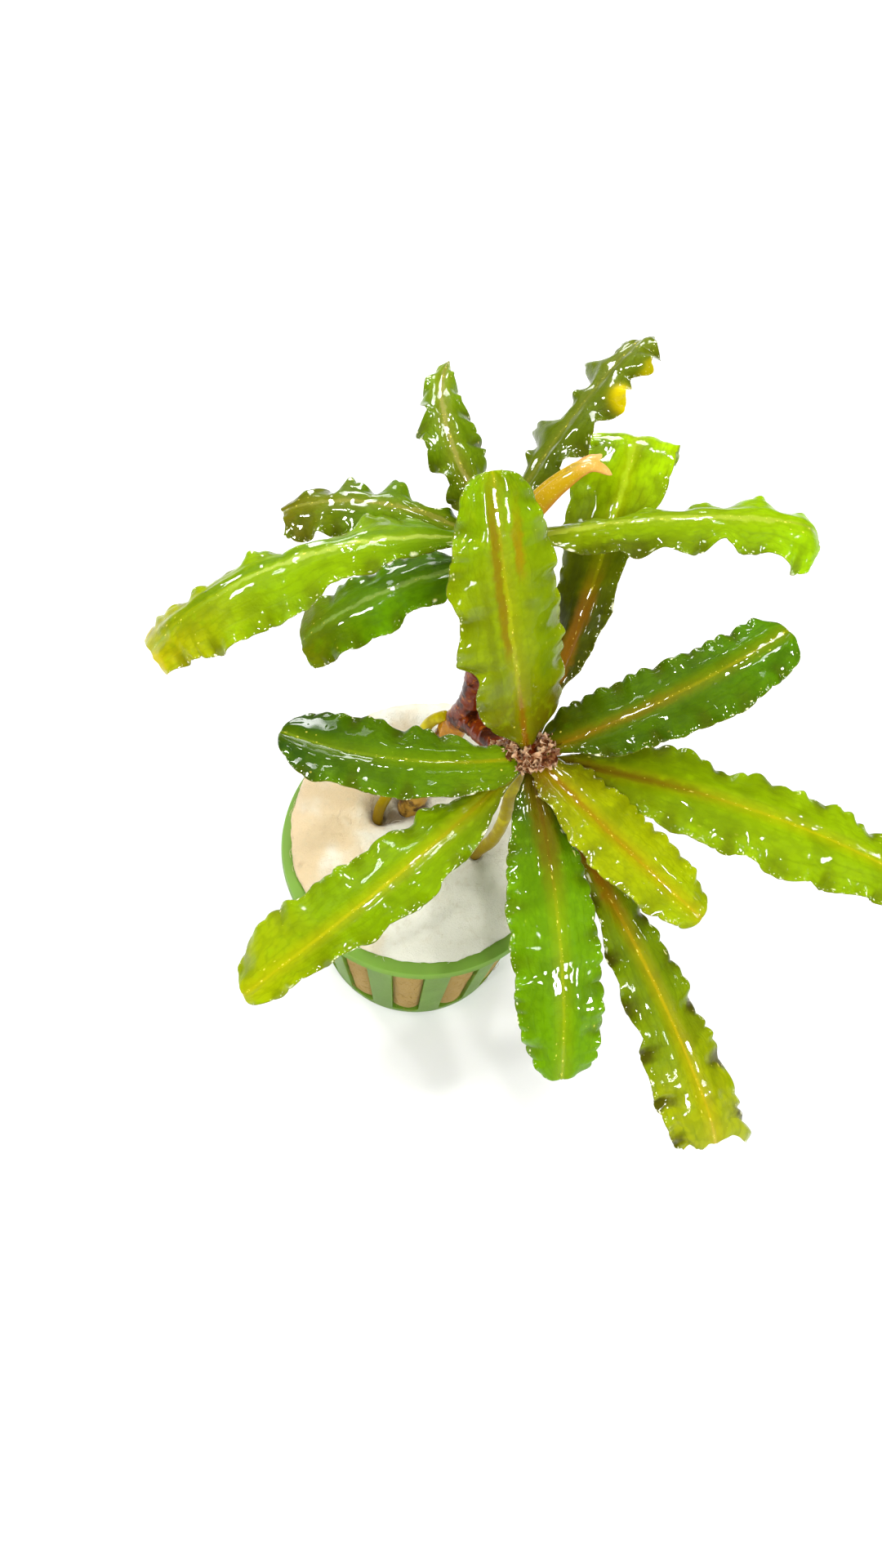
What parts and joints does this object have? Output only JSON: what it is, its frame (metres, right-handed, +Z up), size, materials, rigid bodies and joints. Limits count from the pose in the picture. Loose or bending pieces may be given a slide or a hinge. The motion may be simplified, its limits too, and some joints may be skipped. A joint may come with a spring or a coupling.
{
  "type": "bucephalandra aquarium plant in net pot",
  "caption": "Bucephalandra aquarium plant: two crowns of long wavy-edged leaves on a forked rhizome, rooted in a wool plug in a green slotted net pot.",
  "frame": {"origin": "centre of the flat underside of the net pot", "axes": "+Z up, along the pot's axis; +X to the right and +Y away as the picture shows the plant"},
  "size_m": [0.123, 0.0971, 0.1215],
  "materials": {
    "pot_plastic": "smooth green plastic",
    "wool": "matte off-white mineral wool",
    "rhizome": "damp red-brown stem with rings",
    "root": "damp yellow-green root",
    "young_leaf": "waxy orange rolled leaf",
    "leaf": "wet, waxy green leaf"
  },
  "bodies": {
    "root": {"net_pot": "pot_plastic", "wool_plug": "wool", "rhizome_main": "rhizome", "rhizome_fork": "rhizome", "root_front": "root", "root_back": "root", "young_leaf": "young_leaf", "leaf_front": "leaf", "leaf_right": "leaf", "leaf_far_right": "leaf", "leaf_yellow": "leaf", "leaf_low_right": "leaf", "leaf_down": "leaf", "leaf_low_left": "leaf", "leaf_left": "leaf", "leaf_back": "leaf", "leaf_high_left": "leaf", "leaf_long_left": "leaf", "leaf_short_left": "leaf", "leaf_top": "leaf", "leaf_top_right": "leaf", "leaf_high_right": "leaf"}
  },
  "joints": []
}
